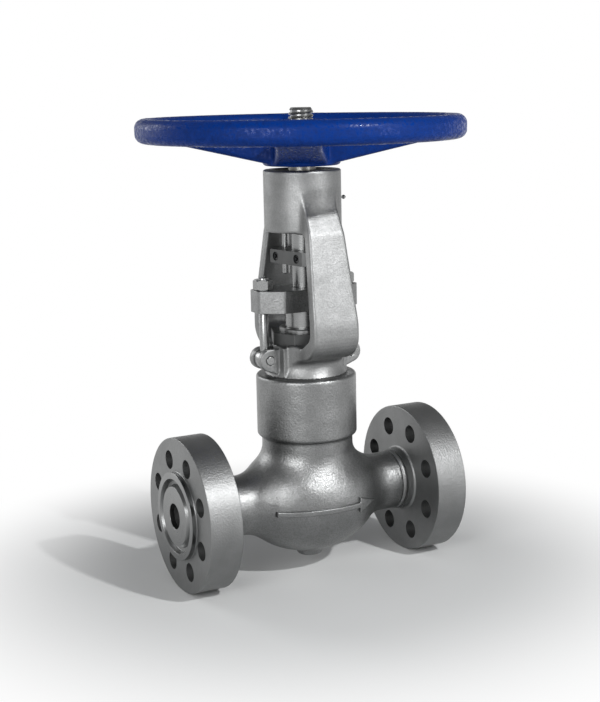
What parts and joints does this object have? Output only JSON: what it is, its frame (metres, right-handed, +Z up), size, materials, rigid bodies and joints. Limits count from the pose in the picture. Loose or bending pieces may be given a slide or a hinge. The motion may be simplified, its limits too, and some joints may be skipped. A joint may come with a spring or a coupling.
{
  "type": "globe valve",
  "caption": "High-pressure globe valve: cast body with ring-joint flanges, pressure-seal bonnet, open yoke, rising stem and a spoked blue handwheel.",
  "frame": {"origin": "where the axis of the pipe run crosses the axis of the stem", "axes": "+X along the pipe from inlet to outlet, +Z up the stem to the handwheel, +Y across"},
  "size_m": [0.497, 0.497, 0.7175],
  "materials": {
    "cast_steel": "shot-blasted stainless casting, satin grey",
    "machined_steel": "turned stainless steel with fine tool marks",
    "bright_steel": "ground and polished stainless steel",
    "graphite": "pressed graphite",
    "blue_paint": "glossy blue enamel on cast iron"
  },
  "bodies": {
    "frame": {"bearing_cap": "machined_steel", "bonnet": "machined_steel", "bonnet_nut": "bright_steel", "cap_set_screw": "bright_steel", "eye_bolt_inlet_side": "bright_steel", "eye_bolt_nut_inlet_side": "bright_steel", "eye_bolt_nut_outlet_side": "bright_steel", "eye_bolt_outlet_side": "bright_steel", "eye_bolt_pin_inlet_side": "bright_steel", "eye_bolt_pin_outlet_side": "bright_steel", "gland_bush": "bright_steel", "gland_flange": "cast_steel", "grease_nipple": "machined_steel", "guide_rod_far": "bright_steel", "guide_rod_near": "bright_steel", "inlet_flange": "machined_steel", "lower_thrust_bearing": "bright_steel", "outlet_flange": "machined_steel", "packing_ring_1": "graphite", "packing_ring_2": "graphite", "packing_ring_3": "graphite", "packing_ring_4": "graphite", "packing_ring_5": "graphite", "packing_washer": "machined_steel", "pressure_seal_gasket": "graphite", "seat_ring": "bright_steel", "segment_retainer": "machined_steel", "segment_ring_1": "machined_steel", "segment_ring_2": "machined_steel", "segment_ring_3": "machined_steel", "segment_ring_4": "machined_steel", "spacer_ring": "machined_steel", "upper_thrust_bearing": "bright_steel", "valve_body": "cast_steel", "yoke": "cast_steel"},
    "rising_stem": {"stem": "bright_steel", "disc": "bright_steel", "disc_nut": "machined_steel", "guide_half_inlet_side": "machined_steel", "guide_half_outlet_side": "machined_steel", "guide_screw_far": "bright_steel", "guide_screw_near": "bright_steel"},
    "wheel": {"handwheel": "blue_paint", "handwheel_key": "bright_steel", "handwheel_nut": "bright_steel", "stem_nut": "machined_steel"}
  },
  "joints": [
    {"name": "handwheel_turn", "type": "hinge", "parent": "frame", "child": "wheel", "pos_m": [0, 0, 0.536], "axis": [0, 0, 1], "range_deg": [0, 1080]},
    {"name": "stem_lift", "type": "slide", "parent": "frame", "child": "rising_stem", "axis": [0, 0, 1], "range_m": [0, 0.0182]}
  ],
  "couplings": [
    {"joint": "stem_lift", "follows": "handwheel_turn", "m_per_rad": 0.00095493}
  ]
}
